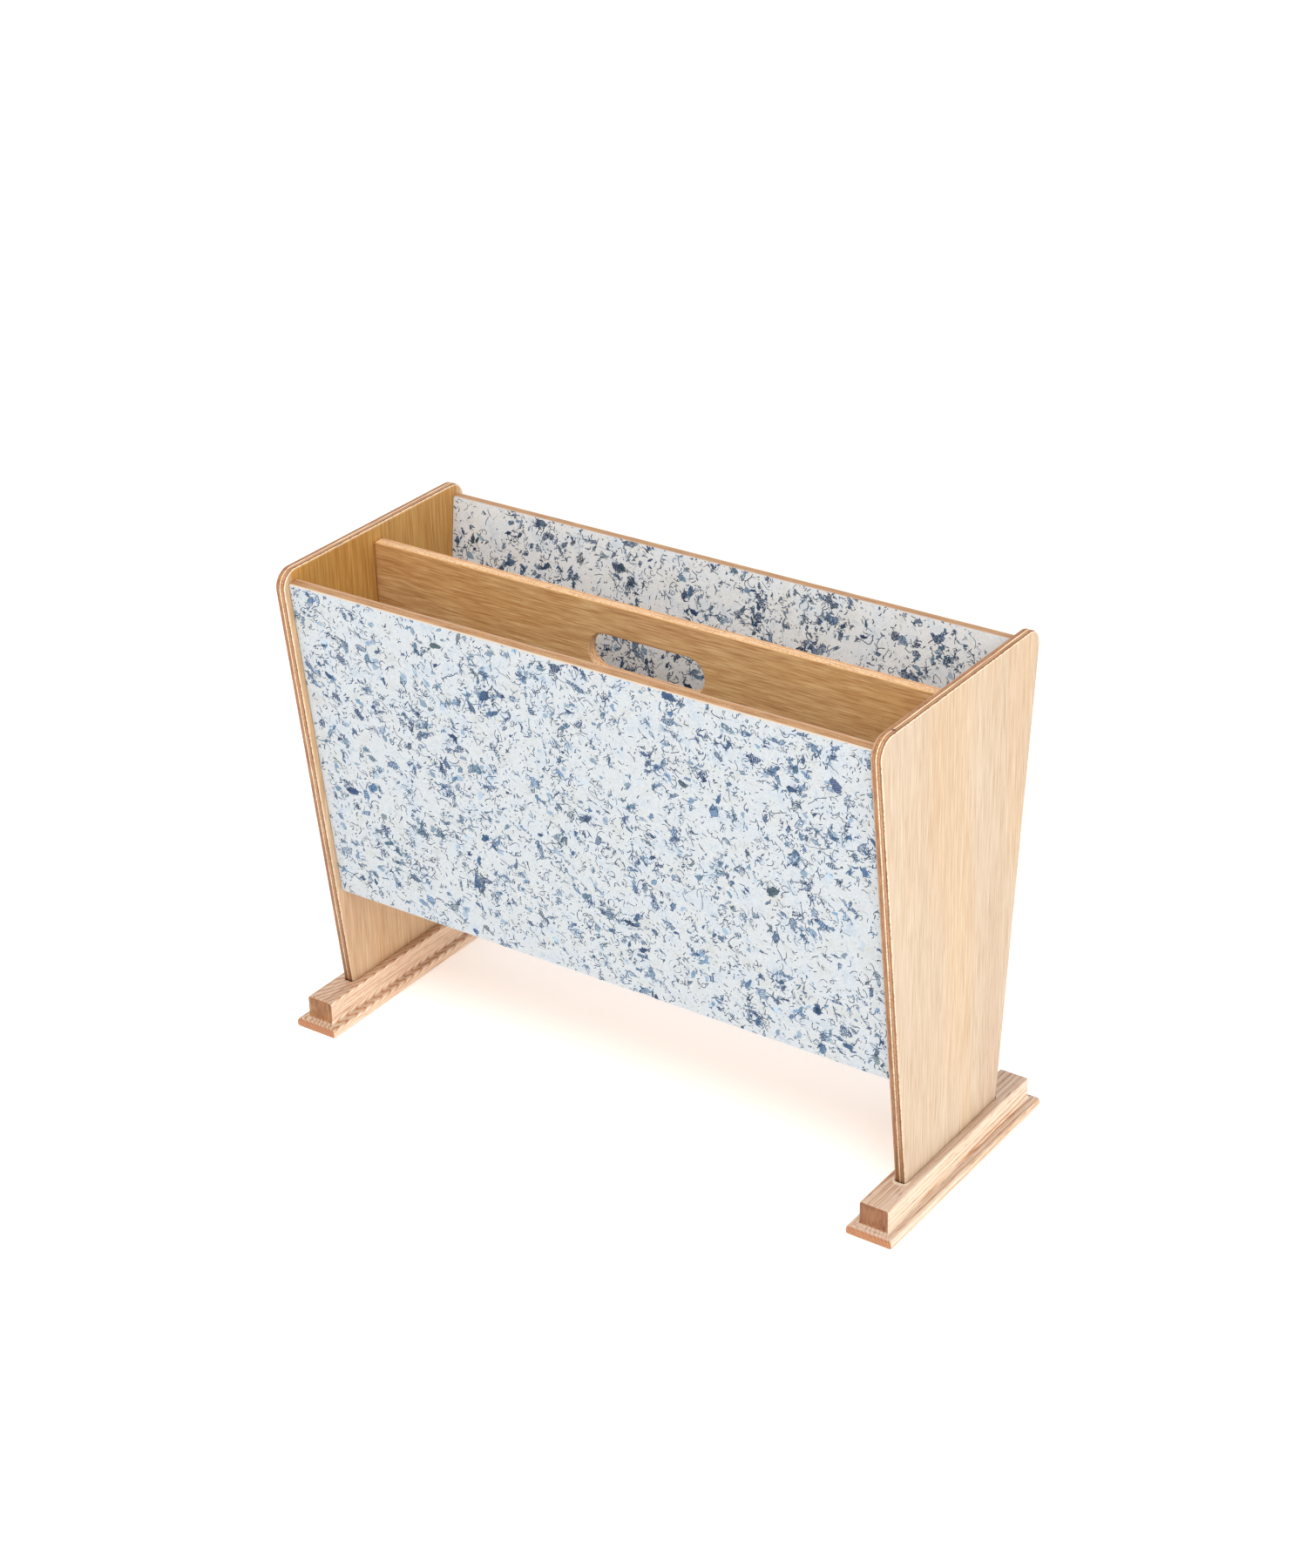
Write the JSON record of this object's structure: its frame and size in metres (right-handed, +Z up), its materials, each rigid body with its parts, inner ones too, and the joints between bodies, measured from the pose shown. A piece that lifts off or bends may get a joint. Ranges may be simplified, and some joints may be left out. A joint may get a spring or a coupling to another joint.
{
  "type": "magazine rack",
  "caption": "Free-standing magazine rack: plywood ends on solid wood feet, leaning textile-faced sides, and a divider with a carrying slot.",
  "frame": {"origin": "on the ground, below the middle of the rack: the bottom centre of its box", "axes": "+X along the rack towards its right end panel, -Y towards its front, +Z up"},
  "size_m": [0.4804, 0.1918, 0.348],
  "materials": {
    "end_panel_veneer": "satin pale veneer with straight upright grain over cross-laid plies",
    "divider_veneer": "satin honey-coloured veneer with grain along the rack",
    "core_plywood": "bare sanded plywood edge",
    "textile_composite": "matt pressed sheet of shredded pale textile with blue denim chips and dark threads",
    "foot_ash": "oiled solid ash, flat-sawn, moulded edge",
    "dowel_beech": "plain turned beech",
    "screw_steel": "zinc plated"
  },
  "bodies": {
    "root": {"left_end_panel": "end_panel_veneer", "right_end_panel": "end_panel_veneer", "divider_panel": "divider_veneer", "floor_panel": "divider_veneer", "front_panel_core": "core_plywood", "back_panel_core": "core_plywood", "left_foot": "foot_ash", "right_foot": "foot_ash", "front_panel_outer_facing": "textile_composite", "front_panel_inner_facing": "textile_composite", "back_panel_outer_facing": "textile_composite", "back_panel_inner_facing": "textile_composite", "front_panel_dowel_1": "dowel_beech", "front_panel_dowel_2": "dowel_beech", "front_panel_dowel_3": "dowel_beech", "front_panel_dowel_4": "dowel_beech", "front_panel_dowel_5": "dowel_beech", "front_panel_dowel_6": "dowel_beech", "back_panel_dowel_1": "dowel_beech", "back_panel_dowel_2": "dowel_beech", "back_panel_dowel_3": "dowel_beech", "back_panel_dowel_4": "dowel_beech", "back_panel_dowel_5": "dowel_beech", "back_panel_dowel_6": "dowel_beech", "divider_dowel_1": "dowel_beech", "divider_dowel_2": "dowel_beech", "divider_dowel_3": "dowel_beech", "divider_dowel_4": "dowel_beech", "divider_dowel_5": "dowel_beech", "divider_dowel_6": "dowel_beech", "floor_panel_dowel_1": "dowel_beech", "floor_panel_dowel_2": "dowel_beech", "floor_panel_dowel_3": "dowel_beech", "floor_panel_dowel_4": "dowel_beech", "divider_foot_dowel_1": "dowel_beech", "divider_foot_dowel_2": "dowel_beech", "divider_foot_dowel_3": "dowel_beech", "left_foot_screw_1": "screw_steel", "left_foot_screw_2": "screw_steel", "right_foot_screw_1": "screw_steel", "right_foot_screw_2": "screw_steel"}
  },
  "joints": []
}
